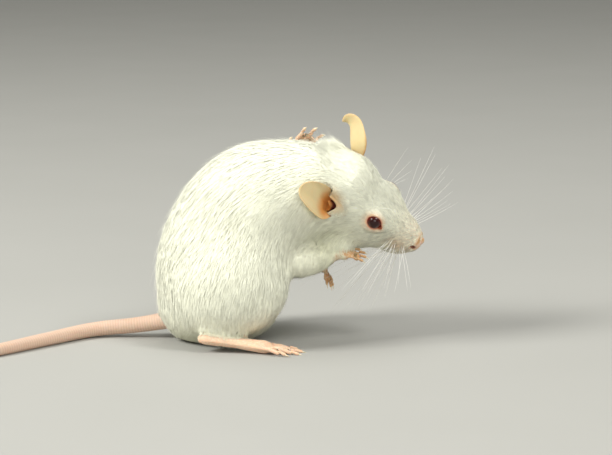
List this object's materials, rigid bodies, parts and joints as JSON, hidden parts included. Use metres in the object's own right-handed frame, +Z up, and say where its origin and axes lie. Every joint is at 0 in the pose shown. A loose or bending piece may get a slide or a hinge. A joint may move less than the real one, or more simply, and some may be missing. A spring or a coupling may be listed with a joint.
{
  "type": "pet mouse figure",
  "caption": "Life-size white mouse, still model: it sits hunched on its haunch and scratches behind one ear with a hind foot.",
  "frame": {"origin": "on the floor, under the seat on which the mouse sits", "axes": "+X forward, the way the mouse faces; +Y to the mouse's left; +Z up from the floor"},
  "size_m": [0.1214, 0.0456, 0.0453],
  "materials": {
    "coat": "short soft warm-white fur",
    "skin": "thin bare pink skin, softly shining",
    "ear": "thin translucent cream skin with fine down",
    "tail": "pinkish beige skin in fine scale rings",
    "eye": "wet dark ruby, as in an albino",
    "claw": "pale translucent horn"
  },
  "bodies": {
    "root": {"head": "coat", "left_ear": "ear", "left_eye": "eye", "left_fore_claw_1": "claw", "left_fore_claw_2": "claw", "left_fore_claw_3": "claw", "left_fore_claw_4": "claw", "left_forearm": "coat", "left_forepaw": "skin", "left_hind_claw_1": "claw", "left_hind_claw_2": "claw", "left_hind_claw_3": "claw", "left_hind_claw_4": "claw", "left_hind_claw_5": "claw", "left_hind_foot": "skin", "left_shank": "coat", "left_thigh": "coat", "neck": "coat", "nose": "skin", "right_ear": "ear", "right_eye": "eye", "right_fore_claw_1": "claw", "right_fore_claw_2": "claw", "right_fore_claw_3": "claw", "right_fore_claw_4": "claw", "right_forearm": "coat", "right_forepaw": "skin", "right_hind_claw_1": "claw", "right_hind_claw_2": "claw", "right_hind_claw_3": "claw", "right_hind_claw_4": "claw", "right_hind_claw_5": "claw", "right_hind_foot": "skin", "right_thigh": "coat", "tail_1": "tail", "tail_2": "tail", "tail_3": "tail", "tail_4": "tail", "trunk": "coat"}
  },
  "joints": []
}
